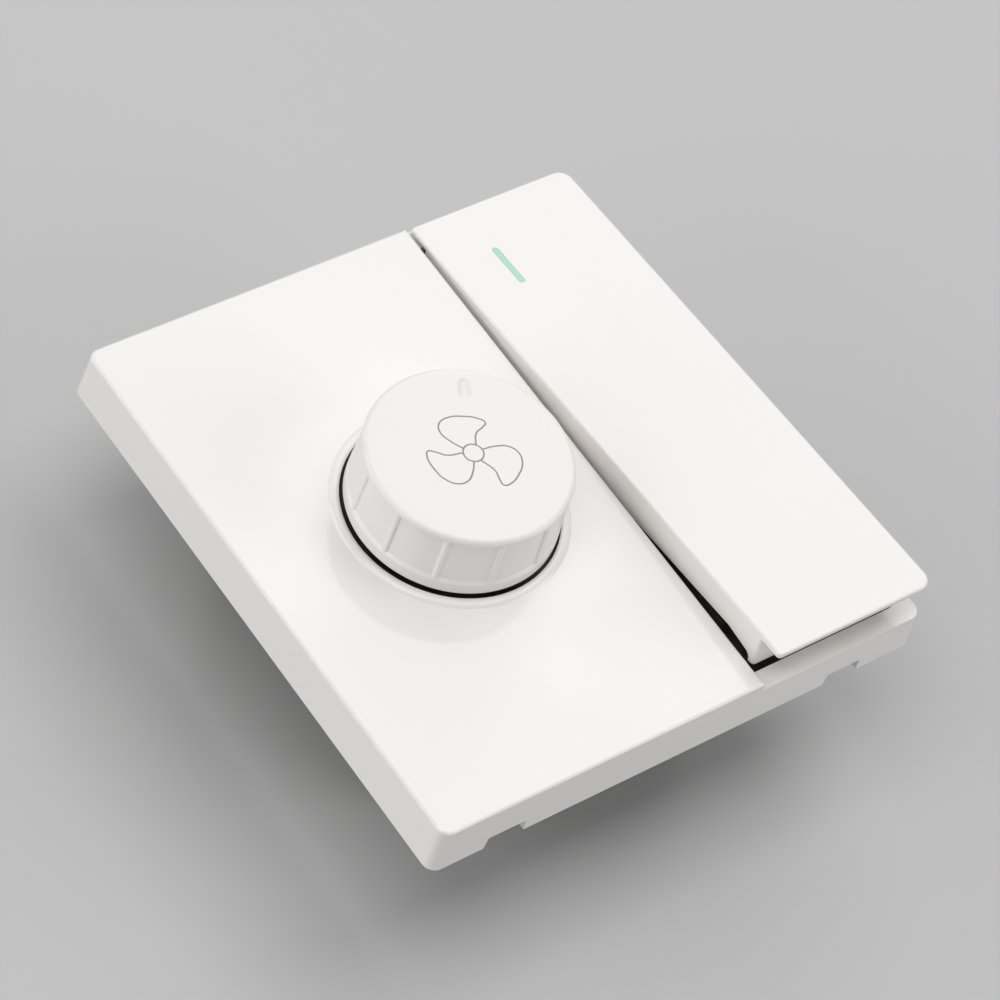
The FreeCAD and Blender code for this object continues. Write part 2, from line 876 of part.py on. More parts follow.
def circuit_board():
    gap = board_clearance
    board = slab(-inner_half_width + gap, partition_left - gap, -inner_half_length + gap,
                 inner_half_length - gap, board_bottom, board_top, board_corner)
    low = board_bottom - 1
    high = board_top + 1
    cuts = []
    for side, y in wire_places()[0]:
        half_x = clamp_tail_width / 2 + tail_clearance
        half_y = clamp_tail_thickness / 2 + tail_clearance
        cuts.append(box(-clamp_x - half_x, -clamp_x + half_x, y - half_y, y + half_y, low, high))
    for x, y in pin_places():
        half_x = pin_thickness / 2 + tail_clearance
        half_y = pin_width / 2 + tail_clearance
        cuts.append(box(x - half_x, x + half_x, y - half_y, y + half_y, low, high))
    for x, y in board_screw_places():
        cuts.append(rod(x, y, low, high, board_screw_radius + board_screw_clearance))
    return board.cut(cuts)


def board_screw(x, y):
    head = rod(x, y, board_top, board_top + board_screw_head_height, board_screw_head)
    tip = board_bottom - board_screw_length + pilot_spare
    shank = rod(x, y, tip, board_top + overlap, board_screw_radius)
    top = board_top + board_screw_head_height
    half = board_screw_slot / 2
    groove = box(x - board_screw_head, x + board_screw_head, y - half, y + half,
                 top - board_screw_slot, top + 1)
    return joined([head, shank]).cut(groove)


def pin_places():
    x = knob_x - pot_radius - pin_thickness
    return [(x, knob_y + k * pin_pitch) for k in (-1, 0, 1)]


def pot_pin(x, y):
    # Strip from the case's foot, out and down through the board.
    half = pin_width / 2
    low = board_bottom - pin_reach
    bend = pot_floor + pin_height
    leg = box(x - pin_thickness / 2, x + pin_thickness / 2, y - half, y + half, low, bend)
    arm = box(x - pin_thickness / 2, knob_x, y - half, y + half, bend - pin_thickness, bend)
    return joined([leg, arm]).cut(rod(knob_x, knob_y, low, bend + 1, pot_radius))


def pot_case():
    top = pot_top - pot_plate
    inner = pot_radius - pot_wall
    can = rod(knob_x, knob_y, pot_floor, top, pot_radius)
    can = can.cut(rod(knob_x, knob_y, pot_floor + pot_wall, top + 1, inner))
    # End stop for the wiper, at the bottom of the circle.
    z0 = pot_floor + pot_wall + track_thickness + track_film + wiper_height
    block = box(knob_x - stop_width / 2, knob_x + stop_width / 2, knob_y - inner - stop_root,
                knob_y - inner + stop_depth, z0, z0 + stop_height)
    return can.fuse(block).removeSplitter()


def pot_bush():
    plate = rod(knob_x, knob_y, pot_top - pot_plate, pot_top, pot_radius)
    neck = rod(knob_x, knob_y, pot_top - overlap, bush_top, bush_radius)
    neck = neck.makeChamfer(bush_chamfer, edges_at(neck, bush_top))
    bore = rod(knob_x, knob_y, 0, bush_top + 1, shaft_radius + shaft_clearance)
    return joined([plate, neck]).cut(bore)


def pot_washer():
    top = platform_top + washer_height
    return tube(knob_x, knob_y, platform_top, top, washer_radius, bush_radius + bush_clearance)


def pot_nut():
    z0 = platform_top + washer_height
    nut = hexagon(knob_x, knob_y, z0, z0 + nut_height, nut_across)
    top = nut_across / 2 + nut_crown
    crown = Part.makeCone(top + nut_height, top, nut_height, vec(knob_x, knob_y, z0))
    nut = nut.common(crown)
    return nut.cut(rod(knob_x, knob_y, z0 - 1, z0 + nut_height + 1, bush_radius + bush_clearance))


def track_disc():
    z0 = pot_floor + pot_wall
    outer = pot_radius - pot_wall - track_fit
    return tube(knob_x, knob_y, z0, z0 + track_thickness, outer, track_bore)


def carbon_track():
    z0 = pot_floor + pot_wall + track_thickness
    ring = tube(knob_x, knob_y, z0, z0 + track_film, track_outer, track_inner)
    reach = track_outer + 1
    edge = reach * math.tan(math.radians(track_gap / 2))
    wedge = closed_face([vec(knob_x, knob_y, z0 - 1), vec(knob_x - edge, knob_y - reach, z0 - 1),
                         vec(knob_x + edge, knob_y - reach, z0 - 1)]).extrude(vec(0, 0, 3))
    return ring.cut(wedge)


def pot_shaft():
    foot = pot_floor + pot_wall + track_thickness + track_film + wiper_clearance
    shaft = rod(knob_x, knob_y, foot, shaft_top, shaft_radius)
    shaft = shaft.makeChamfer(shaft_chamfer, edges_at(shaft, shaft_top))
    collar_top = pot_top - pot_plate - shaft_collar_gap
    ring = rod(knob_x, knob_y, collar_top - shaft_collar_height, collar_top, shaft_collar_radius)
    shaft = joined([shaft, ring])
    start = bush_top + flat_start
    far = shaft_radius + 1
    flat = box(knob_x - far, knob_x + far, knob_y + shaft_radius - shaft_flat, knob_y + far,
               start, shaft_top + 1)
    return turned(shaft.cut(flat))


def pot_wiper():
    z0 = pot_floor + pot_wall + track_thickness + track_film + wiper_clearance
    hub = rod(knob_x, knob_y, z0, z0 + wiper_height, wiper_hub_radius)
    arm = box(knob_x - wiper_width / 2, knob_x + wiper_width / 2, knob_y, knob_y + wiper_reach,
              z0, z0 + wiper_height)
    stop_top = z0 + wiper_height + stop_height - wiper_clearance
    finger_end = knob_y + pot_radius - pot_wall - wiper_finger_gap
    finger = box(knob_x - wiper_finger_width / 2, knob_x + wiper_finger_width / 2,
                 finger_end - wiper_finger_depth, finger_end, z0 + wiper_height / 2, stop_top)
    wiper = joined([hub, arm, finger])
    return turned(wiper.cut(rod(knob_x, knob_y, z0 - 1, stop_top + 1, shaft_radius)))


def knob_cone(inset, z0, z1):
    # The knob's outer cone between two heights, smaller by the inset.
    low = knob_radius_at(z0) - inset
    high = knob_radius_at(z1) - inset
    return Part.makeCone(low, high, z1 - z0, vec(knob_x, knob_y, z0))


def knob_radius_at(z):
    slope = (knob_base_radius - knob_top_radius) / (knob_top - knob_bottom)
    return knob_base_radius - slope * (z - knob_bottom)


def grip_rib():
    # Half-round rib that lies along the knob's slope, just under its outer cone.
    z0 = knob_bottom
    z1 = knob_top
    sink = grip_rib_radius + grip_rib_sink
    foot = vec(knob_x, knob_y + knob_radius_at(z0) - sink, z0)
    head = vec(knob_x, knob_y + knob_radius_at(z1) - sink, z1)
    return Part.makeCylinder(grip_rib_radius, (head - foot).Length, foot, head - foot)


def grip_panels():
    # Shallow ring round the knob, with sloped ends and half-round ribs left standing in it.
    z0 = knob_bottom + grip_band_low
    z1 = knob_top - grip_band_high
    points = [
        (knob_radius_at(z0) + grip_depth, z0 - grip_slope),
        (knob_radius_at(z0) - grip_depth, z0 + grip_slope),
        (knob_radius_at(z1) - grip_depth, z1 - grip_slope),
        (knob_radius_at(z1) + grip_depth, z1 + grip_slope),
    ]
    face = closed_face([vec(knob_x + r, knob_y, z) for r, z in points])
    ring = face.revolve(vec(knob_x, knob_y, 0), vec(0, 0, 1), 360)
    step = 360.0 / grip_count
    ribs = [spun(grip_rib(), knob_x, knob_y, step * (k + 0.5)) for k in range(grip_count)]
    return ring.cut(ribs)


def pointer_dimple():
    z = knob_top + pointer_ball - pointer_depth
    near = Part.makeSphere(pointer_ball, vec(knob_x, knob_y + pointer_from, z))
    far = Part.makeSphere(pointer_ball, vec(knob_x, knob_y + pointer_to - pointer_ball / 2, z))
    middle = rod_y(knob_x, knob_y + pointer_from, knob_y + pointer_to - pointer_ball / 2, z, pointer_ball)
    return joined([near, middle, far])


def knob_hub():
    top = knob_top - knob_roof + overlap
    outer = knob_y + knob_top_radius - knob_wall + overlap * 3
    hub = rod(knob_x, knob_y, knob_bottom, top, hub_radius)
    ribs = []
    for k in range(hub_rib_count):
        rib = box(knob_x - hub_rib_width / 2, knob_x + hub_rib_width / 2,
                  knob_y + (hub_radius + shaft_radius) / 2, outer, knob_bottom + hub_rib_drop, top)
        ribs.append(spun(rib, knob_x, knob_y, 360.0 / hub_rib_count * k))
    return joined([hub] + ribs)


def shaft_socket():
    # D-shaped hole for the shaft, wider at its mouth to pass the bush.
    radius = shaft_radius + shaft_clearance
    hole = rod(knob_x, knob_y, knob_bottom - 1, knob_top - knob_roof - socket_play, radius)
    far = shaft_radius + 1
    mouth_top = bush_top + flat_start + socket_play
    key_foot = knob_y + shaft_radius - shaft_flat + shaft_clearance
    key = box(knob_x - far, knob_x + far, key_foot, knob_y + far, mouth_top, knob_top)
    mouth = rod(knob_x, knob_y, knob_bottom - 1, mouth_top, bush_radius + hub_mouth_gap)
    pocket = clip_box(0.0)
    return [hole.cut(key), mouth, pocket]


def clip_box(clearance):
    # Space behind the round side of the shaft that holds the leaf spring.
    half = clip_width / 2 - clearance
    back = knob_y - shaft_radius - shaft_clearance
    outer = back - clip_thickness - clip_play + clearance
    top = shaft_top - shaft_top_gap
    return box(knob_x - half, knob_x + half, outer, back + shaft_radius / 4,
               top - clip_length + clearance, top - clearance)


def knob_spring_clip():
    leaf = clip_box(clip_play / 2)
    return turned(leaf.cut(rod(knob_x, knob_y, 0, knob_top, shaft_radius + shaft_clearance / 2)))


def speed_knob():
    body = knob_cone(0, knob_bottom, knob_top)
    body = body.makeFillet(knob_round, edges_at(body, knob_top))
    body = body.cut(knob_cone(knob_wall, knob_bottom - 1, knob_top - knob_roof))
    body = body.cut(grip_panels())
    body = body.fuse(knob_hub())
    return turned(body.cut(shaft_socket() + [pointer_dimple()]).removeSplitter())


def skirt_profile():
    # Side view of the skirt: deepest in the middle, rising towards a hooked foot at each end.
    low = rocker_top - foot_depth
    high = rocker_top - skirt_depth
    belly = rocker_top - skirt_belly
    top = rocker_top - rocker_lip
    toe = skirt_half - foot_length
    heel = toe - foot_step
    rise = heel - foot_slope
    turn = math.sqrt(0.5)
    edges = []
    for side in (-1, 1):
        a = vec(0, side * skirt_half, top)
        b = vec(0, side * skirt_half, low)
        c = vec(0, side * toe, low)
        d = vec(0, side * (heel + foot_step * turn), low + foot_rise * turn)
        e = vec(0, side * heel, low + foot_rise)
        f = vec(0, side * rise, high)
        g = vec(0, 0, belly)
        edges += [Part.LineSegment(a, b), Part.LineSegment(b, c), Part.Arc(c, d, e),
                  Part.LineSegment(e, f), Part.LineSegment(f, g)]
    edges.append(Part.LineSegment(vec(0, -skirt_half, top), vec(0, skirt_half, top)))
    wire = Part.Wire(Part.__sortEdges__([edge.toShape() for edge in edges]))
    return Part.Face(wire)


def rocker_skirt():
    side = skirt_profile()
    side.translate(vec(rocker_left, 0, 0))
    solid = side.extrude(vec(skirt_right - rocker_left, 0, 0))
    plan = slab(rocker_left, skirt_right, -skirt_half, skirt_half, rocker_top - foot_depth - 1,
                rocker_top - rocker_lip / 2,
                (rocker_inner_corner, skirt_corner, skirt_corner, rocker_inner_corner))
    return solid.common(plan)


def lens_slot(clearance):
    half = lens_length / 2 + clearance
    width = lens_width / 2 + clearance
    bar = slab(lens_x - width, lens_x + width, lens_y - half, lens_y + half,
               rocker_top - rocker_plate - 1, rocker_top + 1, width - 0.01)
    return bar


def carrier_clip(y_side):
    # Hooked rib under the rocker that snaps round the end of the carrier's plate.
    start = carrier_half_length + clip_gap
    under = rocker_under - carrier_plate - clip_gap
    low = under - clip_depth
    top = rocker_under + overlap
    points = [(start, top), (start, under), (start - clip_lip, under), (start - clip_lip + clip_lead, low),
              (start + clip_wall, low), (start + clip_wall, top)]
    rib = prism_x(points, carrier_left + clip_inset, carrier_right - clip_inset)
    return rib if y_side > 0 else mirrored_y(rib)


def rocker_key():
    half = rocker_length / 2
    plate = slab(rocker_left, rocker_right, -half, half, rocker_top - rocker_lip, rocker_top,
                 (rocker_inner_corner, rocker_corner, rocker_corner, rocker_inner_corner))
    plate = plate.makeFillet(rocker_round, edges_at(plate, rocker_top))
    key = plate.fuse(rocker_skirt())
    room = slab(rocker_left + skirt_wall, skirt_right - skirt_wall, -skirt_half + skirt_wall,
                skirt_half - skirt_wall, 0, rocker_under, room_corner)
    key = key.cut(room)
    additions = [carrier_clip(-1), carrier_clip(1)]
    for side in (-1, 1):
        y = side * rocker_rib_offset
        additions.append(box(rocker_left + skirt_wall - overlap, skirt_right - skirt_wall + overlap,
                             y - rocker_rib_wall / 2, y + rocker_rib_wall / 2,
                             rocker_under - rocker_rib_depth, rocker_under + overlap))
    key = key.multiFuse(additions).cut(lens_slot(0.0))
    return tilted(key.removeSplitter(), -rocker_tilt, pivot_height)


def indicator_lens():
    bar = lens_slot(-lens_clearance)
    half = lens_length / 2
    keep = box(0, half_width, 0, half_height, rocker_under - lens_flange, rocker_top)
    bar = bar.common(keep)
    flange = box(lens_x - lens_flange_width / 2, lens_x + lens_flange_width / 2,
                 lens_y - half - lens_flange_reach, lens_y + half + lens_flange_reach,
                 rocker_under - lens_flange, rocker_under)
    return tilted(joined([bar, flange]), -rocker_tilt, pivot_height)


def rocker_carrier():
    top = rocker_under
    plate_under = top - carrier_plate
    plate = box(carrier_left, carrier_right, -carrier_half_length, carrier_half_length, plate_under, top)
    parts = [plate]
    low = pivot_height - cheek_drop
    for x0 in (carrier_left, carrier_right - cheek_wall):
        parts.append(box(x0, x0 + cheek_wall, -cheek_half_length, cheek_half_length,
                         low, plate_under + overlap))
    reach = post_gap + post_wall
    parts.append(rod_x(carrier_left - reach, carrier_left + overlap, 0, pivot_height, pivot_radius))
    parts.append(rod_x(carrier_right - overlap, carrier_right + reach, 0, pivot_height, pivot_radius))
    parts.append(rod(carrier_x, 0, tube_bottom, plate_under + overlap, tube_radius))
    carrier = joined(parts)
    bore = rod(carrier_x, 0, tube_bottom - 1, tube_ceiling, tube_radius - tube_wall)
    return tilted(carrier.cut(bore), -rocker_tilt, pivot_height)


def plunger():
    body = rod(carrier_x, 0, plunger_tip + plunger_radius, plunger_top, plunger_radius)
    ball = Part.makeSphere(plunger_radius, vec(carrier_x, 0, plunger_tip + plunger_radius))
    return tilted(joined([body, ball]), -rocker_tilt, pivot_height)


def plunger_spring():
    outer = tube_radius - tube_wall - spring_clearance
    radius = outer - spring_wire / 2
    length = tube_ceiling - plunger_top - spring_wire
    helix = Part.makeHelix(length / spring_turns, length, radius)
    half = spring_wire / 2
    corners = [vec(radius - half, 0, -half), vec(radius + half, 0, -half),
               vec(radius + half, 0, half), vec(radius - half, 0, half)]
    section = Part.makePolygon(corners + [corners[0]])
    coil = Part.Wire(helix.Edges).makePipeShell([section], True, True)
    coil.translate(vec(carrier_x, 0, plunger_top + half))
    return tilted(coil, -rocker_tilt, pivot_height)


def moving_contact():
    rise = seesaw_arm_rise
    start = seesaw_arm_start
    end = seesaw_half_length
    top = seesaw_height
    low = top - seesaw_thickness
    seat = seesaw_seat_half
    dent = seesaw_dent_half
    points = [(-end, low + rise), (-start, low + rise), (-seat, low), (seat, low), (start, low + rise),
              (end, low + rise), (end, top + rise), (start, top + rise), (dent, top), (-dent, top),
              (-start, top + rise), (-end, top + rise)]
    left = carrier_x - seesaw_width / 2
    strip = prism_x(points, left, left + seesaw_width)
    groove = rod_x(left - 1, left + seesaw_width + 1, 0, seesaw_pivot, fulcrum_radius + fulcrum_clearance)
    return tilted(strip.cut(groove), seesaw_tilt, seesaw_pivot)


def moving_rivets():
    under = seesaw_height - seesaw_thickness + seesaw_arm_rise
    rivets = []
    for side in (-1, 1):
        head = rod(carrier_x, side * rivet_offset, under - rivet_height, under, rivet_radius)
        rivets.append(tilted(head, seesaw_tilt, seesaw_pivot))
    return Part.makeCompound(rivets)


def fixed_contact_top():
    # The fixed strip's upper face, below the seesaw's rivet at full tilt.
    outer = rivet_offset + rivet_radius
    arm = seesaw_arm_rise - rivet_height
    drop = outer * math.sin(math.radians(seesaw_tilt)) - arm * math.cos(math.radians(seesaw_tilt))
    return seesaw_pivot - drop - contact_gap - rivet_height


def fixed_contact(side):
    top = fixed_contact_top()
    inner = rivet_offset - contact_reach
    outer = rivet_offset + contact_reach + contact_thickness
    low = clamp_top
    t = contact_thickness
    end = clamp_row_right + contact_foot_end
    points = [(inner, top), (outer, top), (outer, low + t), (end, low + t), (end, low), (outer - t, low),
              (outer - t, top - t), (inner, top - t)]
    left = carrier_x - seesaw_width / 2
    strip = prism_x(points, left, left + seesaw_width)
    rivet = rod(carrier_x, rivet_offset, top - overlap, top + rivet_height, rivet_radius)
    contact = joined([strip, rivet])
    return contact if side > 0 else mirrored_y(contact)


def common_contact():
    left = carrier_x - seesaw_width / 2
    t = contact_thickness
    stem = box(left, left + seesaw_width, -fulcrum_radius, fulcrum_radius, clamp_top, seesaw_pivot)
    crest = rod_x(left, left + seesaw_width, 0, seesaw_pivot, fulcrum_radius)
    foot = box(left, left + seesaw_width, -common_foot_half, common_foot_half, clamp_top, clamp_top + t)
    return joined([stem, crest, foot])


def choke_core():
    middle = board_bottom - choke_wire - choke_fit - choke_height / 2
    low = middle - choke_height / 2
    high = middle + choke_height / 2
    core = tube(under_board_x, choke_y, low, high, choke_outer, choke_inner)
    rims = edges_at(core, low) + edges_at(core, high)
    return core.makeChamfer(choke_chamfer, rims)


def choke_winding():
    half = choke_height / 2 + choke_fit
    middle = board_bottom - choke_wire - half
    turn = box(choke_inner - choke_fit - choke_wire, choke_outer + choke_fit + choke_wire,
               -choke_wire / 2, choke_wire / 2, -half - choke_wire, half + choke_wire)
    turn = turn.cut(box(choke_inner - choke_fit, choke_outer + choke_fit, -1, 1, -half, half))
    turns = []
    step = 360.0 / (choke_turns + 4)
    for k in range(choke_turns):
        group_gap = 2 if k >= choke_turns / 2 else 0
        copy = turn.copy()
        copy.rotate(vec(0, 0, 0), vec(0, 0, 1), step * (k + group_gap + 0.5))
        copy.translate(vec(under_board_x, choke_y, middle))
        turns.append(copy)
    return Part.makeCompound(turns)


def box_capacitor(size, height, y):
    x = under_board_x
    length, width = size
    case = slab(x - length / 2, x + length / 2, y - width / 2, y + width / 2,
                board_bottom - height, board_bottom, capacitor_corner)
    return case.makeChamfer(capacitor_corner * 0.8, edges_at(case, board_bottom - height))


def sink_face():
    return inner_half_length - sink_gap_to_wall - sink_thickness


def heat_sink():
    outer = sink_face() + sink_thickness
    inner = sink_face()
    t = sink_thickness
    points = [(outer, board_bottom), (outer, sink_bottom), (outer - sink_foot, sink_bottom),
              (outer - sink_foot, sink_bottom + t), (inner, sink_bottom + t), (inner, board_bottom)]
    plate = prism_x(points, sink_left, sink_right)
    hole = sink_screw_radius + sink_hole_clearance
    return plate.cut(rod_y(triac_x, inner - 1, outer + 1, triac_screw_z(), hole))


def triac_top():
    return board_bottom - triac_drop


def triac_height():
    return triac_top() - sink_bottom - sink_thickness - triac_foot_gap


def triac_screw_z():
    return triac_top() - triac_height() + triac_screw_lift


def triac():
    inner = sink_face()
    top = triac_top()
    body = box(triac_x - triac_width / 2, triac_x + triac_width / 2, inner - triac_thickness, inner,
               top - triac_height(), top)
    body = body.cut(rod_y(triac_x, inner - triac_thickness - 1, inner + 1, triac_screw_z(),
                          sink_screw_radius + sink_hole_clearance))
    leads = []
    y = inner - triac_thickness / 2
    for k in (-1, 0, 1):
        x = triac_x + k * triac_lead_pitch
        leads.append(box(x - triac_lead_width / 2, x + triac_lead_width / 2, y - triac_lead_thickness / 2,
                         y + triac_lead_thickness / 2, top - overlap, board_bottom))
    return joined([body] + leads)


def heat_sink_screw():
    face = sink_face() - triac_thickness
    z = triac_screw_z()
    near = face - sink_screw_head_height
    half = board_screw_slot / 2
    head = rod_y(triac_x, near, face, z, sink_screw_head)
    end = sink_face() + sink_thickness + sink_nut_height
    shank = rod_y(triac_x, face - overlap, end, z, sink_screw_radius)
    groove = box(triac_x - sink_screw_head, triac_x + sink_screw_head, near - 1, near + board_screw_slot,
                 z - half, z + half)
    return joined([head, shank]).cut(groove)


def heat_sink_nut():
    # Thin nut pressed against the back of the heat sink, in the gap before the housing wall.
    y = sink_face() + sink_thickness
    nut = hexagon(0, 0, 0, sink_nut_height, sink_nut_across)
    nut = nut.cut(rod(0, 0, -1, sink_nut_height + 1, sink_screw_radius + sink_nut_clearance))
    nut.rotate(vec(0, 0, 0), vec(1, 0, 0), -90)
    nut.translate(vec(triac_x, y, triac_screw_z()))
    return nut


def bent_lead(x, y, z, reach):
    # One round wire: up from the board, over through the body and down again.
    bend = lead_bend
    shift = bend * (1 - math.sqrt(0.5))
    points = [vec(x - reach, y, board_top), vec(x - reach, y, z - bend),
              vec(x - reach + shift, y, z - shift), vec(x - reach + bend, y, z),
              vec(x + reach - bend, y, z), vec(x + reach - shift, y, z - shift),
              vec(x + reach, y, z - bend), vec(x + reach, y, board_top)]
    path = Part.Wire([
        Part.LineSegment(points[0], points[1]).toShape(),
        Part.Arc(points[1], points[2], points[3]).toShape(),
        Part.LineSegment(points[3], points[4]).toShape(),
        Part.Arc(points[4], points[5], points[6]).toShape(),
        Part.LineSegment(points[6], points[7]).toShape(),
    ])
    circle = Part.makeCircle(resistor_lead, points[0], vec(0, 0, 1))
    return path.makePipeShell([Part.Wire(circle)], True, False)


def axial_part(x, y, radius, length, lift):
    # Body lying along X on a bent wire that stands on the board.
    z = board_top + lift
    body = rod_x(x - length / 2, x + length / 2, y, z, radius)
    return joined([body, bent_lead(x, y, z, length / 2 + lead_reach)])


def board_row(share):
    # A place in the strip between the control's case and the board's end, on the side of the share's sign.
    side = 1 if share > 0 else -1
    return side * board_row_start + share * board_row_length


def resistors():
    x = resistor_offset - clamp_x
    return Part.makeCompound([
        axial_part(x, board_row(share), resistor_radius, resistor_length, resistor_lift)
        for share in resistor_row_shares
    ])


def trigger_diode():
    return axial_part(diode_x, board_row(diode_row_share), diode_radius, diode_length, resistor_lift)


def fuse_tube():
    z = board_top + fuse_lift
    half = fuse_length / 2
    return rod_y(fuse_x, -half + fuse_tube_inset, half - fuse_tube_inset, z, fuse_radius - fuse_fit)


def fuse_caps():
    z = board_top + fuse_lift
    half = fuse_length / 2
    glass = rod_y(fuse_x, -half + fuse_tube_inset, half - fuse_tube_inset, z, fuse_radius)
    caps = []
    for side in (-1, 1):
        y0 = min(side * half, side * (half - fuse_cap_length))
        cap = rod_y(fuse_x, y0, y0 + fuse_cap_length, z, fuse_radius + fuse_cap_wall)
        caps.append(cap.cut(glass))
    return Part.makeCompound(caps)


def fuse_clips():
    # Springy fork under each cap.
    z = board_top + fuse_lift
    inner = fuse_radius + fuse_cap_wall + fuse_fit
    outer = inner + fuse_clip_wall
    clips = []
    for side in (-1, 1):
        y = side * (fuse_length - fuse_cap_length) / 2
        y0 = y - fuse_clip_width / 2
        y1 = y + fuse_clip_width / 2
        ring = rod_y(fuse_x, y0, y1, z, outer)
        half = fuse_clip_stem / 2
        stem = box(fuse_x - half, fuse_x + half, y0, y1, board_top, z - inner + overlap)
        clip = ring.fuse(stem).cut(rod_y(fuse_x, y0 - 1, y1 + 1, z, inner))
        mouth = box(fuse_x - outer - 1, fuse_x + outer + 1, y0 - 1, y1 + 1,
                    z + inner * fuse_clip_mouth, z + outer + 1)
        clips.append(clip.cut(mouth).removeSplitter())
    return Part.makeCompound(clips)


def clamp_group(places):
    return Part.makeCompound([wire_clamp(side, y) for side, y in places])


def all_pieces():
    left, right = wire_places()
    return {
        "front_cover": front_cover(),
        "mounting_frame": mounting_frame(),
        "rear_housing": rear_housing(),
        "housing_screws": Part.makeCompound([housing_screw(x, y) for x, y in ear_places()]),
        "circuit_board": circuit_board(),
        "board_screws": Part.makeCompound([board_screw(x, y) for x, y in board_screw_places()]),
        "regulator_clamps": clamp_group(left),
        "switch_clamps": clamp_group(right),
        "clamp_screws": Part.makeCompound([clamp_screw(side, y) for side, y in left + right]),
        "potentiometer_case": pot_case(),
        "potentiometer_bush": pot_bush(),
        "potentiometer_washer": pot_washer(),
        "potentiometer_nut": pot_nut(),
        "potentiometer_pins": Part.makeCompound([pot_pin(x, y) for x, y in pin_places()]),
        "track_disc": track_disc(),
        "carbon_track": carbon_track(),
        "potentiometer_shaft": pot_shaft(),
        "potentiometer_wiper": pot_wiper(),
        "speed_knob": speed_knob(),
        "knob_spring_clip": knob_spring_clip(),
        "rocker_key": rocker_key(),
        "indicator_lens": indicator_lens(),
        "rocker_carrier": rocker_carrier(),
        "plunger": plunger(),
        "plunger_spring": plunger_spring(),
        "moving_contact": moving_contact(),
        "moving_rivets": moving_rivets(),
        "upper_contact": fixed_contact(1),
        "lower_contact": fixed_contact(-1),
        "common_contact": common_contact(),
        "choke_core": choke_core(),
        "choke_winding": choke_winding(),
        "input_capacitor": box_capacitor(input_capacitor_size, input_capacitor_height, input_capacitor_y),
        "timing_capacitor": box_capacitor(timing_capacitor_size, timing_capacitor_height, timing_capacitor_y),
        "heat_sink": heat_sink(),
        "triac": triac(),
        "heat_sink_screw": heat_sink_screw(),
        "heat_sink_nut": heat_sink_nut(),
        "resistors": resistors(),
        "trigger_diode": trigger_diode(),
        "fuse_tube": fuse_tube(),
        "fuse_caps": fuse_caps(),
        "fuse_clips": fuse_clips(),
    }


os.makedirs("parts", exist_ok=True)
for name, shape in all_pieces().items():
    shape.exportStep("parts/" + name + ".step")
    state = "ok" if shape.isValid() else "NOT VALID"
    print(name, len(shape.Solids), "solids", state, round(shape.Volume, 2))
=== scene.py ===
import json
import math

import bmesh
import bpy
from mathutils import Matrix, Quaternion, Vector


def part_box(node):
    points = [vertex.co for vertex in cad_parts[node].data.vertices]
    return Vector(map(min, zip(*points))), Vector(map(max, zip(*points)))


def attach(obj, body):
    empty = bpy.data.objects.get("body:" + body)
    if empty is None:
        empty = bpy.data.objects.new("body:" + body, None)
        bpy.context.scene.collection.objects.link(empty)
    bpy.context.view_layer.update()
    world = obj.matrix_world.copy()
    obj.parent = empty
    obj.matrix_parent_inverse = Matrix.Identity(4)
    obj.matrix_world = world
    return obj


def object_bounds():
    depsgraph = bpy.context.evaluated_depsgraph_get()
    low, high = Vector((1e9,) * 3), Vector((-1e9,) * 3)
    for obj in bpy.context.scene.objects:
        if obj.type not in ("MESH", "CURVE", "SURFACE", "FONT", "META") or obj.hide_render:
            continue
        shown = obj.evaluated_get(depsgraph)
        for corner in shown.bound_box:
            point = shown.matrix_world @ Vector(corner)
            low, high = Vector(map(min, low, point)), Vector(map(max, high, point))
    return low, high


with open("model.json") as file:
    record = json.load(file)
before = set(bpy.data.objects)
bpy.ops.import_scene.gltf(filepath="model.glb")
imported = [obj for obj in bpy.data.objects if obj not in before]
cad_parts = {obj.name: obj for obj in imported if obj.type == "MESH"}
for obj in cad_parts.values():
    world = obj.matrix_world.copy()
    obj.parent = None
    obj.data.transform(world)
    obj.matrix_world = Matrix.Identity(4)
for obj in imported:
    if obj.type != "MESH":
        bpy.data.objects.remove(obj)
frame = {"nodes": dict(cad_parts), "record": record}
cadLow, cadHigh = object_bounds()
nodes = frame["nodes"]
mm = 0.001
print("frame loaded, pieces:", len(nodes))

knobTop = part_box("speed_knob")[1].z


# Small helpers for node trees

def newMaterial(name):
    material = bpy.data.materials.new(name)
    material.use_nodes = True
    tree = material.node_tree
    tree.nodes.clear()
    output = tree.nodes.new("ShaderNodeOutputMaterial")
    shader = tree.nodes.new("ShaderNodeBsdfPrincipled")
    tree.links.new(shader.outputs["BSDF"], output.inputs["Surface"])
    return material, tree, shader


def addInputs(group, rows):
    for name, kind, default in rows:
        socket = group.interface.new_socket(name=name, in_out="INPUT", socket_type=kind)
        socket.default_value = default


def addSurfaceOutputs(group):
    for name, kind in (
        ("Colour", "NodeSocketColor"),
        ("Roughness", "NodeSocketFloat"),
        ("Height", "NodeSocketFloat"),
    ):
        group.interface.new_socket(name=name, in_out="OUTPUT", socket_type=kind)


def addMath(tree, operation, first, second):
    node = tree.nodes.new("ShaderNodeMath")
    node.operation = operation
    for index, value in enumerate((first, second)):
        if isinstance(value, (int, float)):
            node.inputs[index].default_value = value
        else:
            tree.links.new(value, node.inputs[index])
    return node.outputs[0]


noiseMiddle = 0.5  # the average that a noise texture gives


def addNoise(tree, vector, scale, detail=3.0, roughness=0.5):
    node = tree.nodes.new("ShaderNodeTexNoise")
    node.noise_dimensions = "3D"
    node.inputs["Detail"].default_value = detail
    node.inputs["Roughness"].default_value = roughness
    tree.links.new(vector, node.inputs["Vector"])
    if isinstance(scale, (int, float)):
        node.inputs["Scale"].default_value = scale
    else:
        tree.links.new(scale, node.inputs["Scale"])
    return node.outputs["Fac"]


# Shared surface effects as node groups

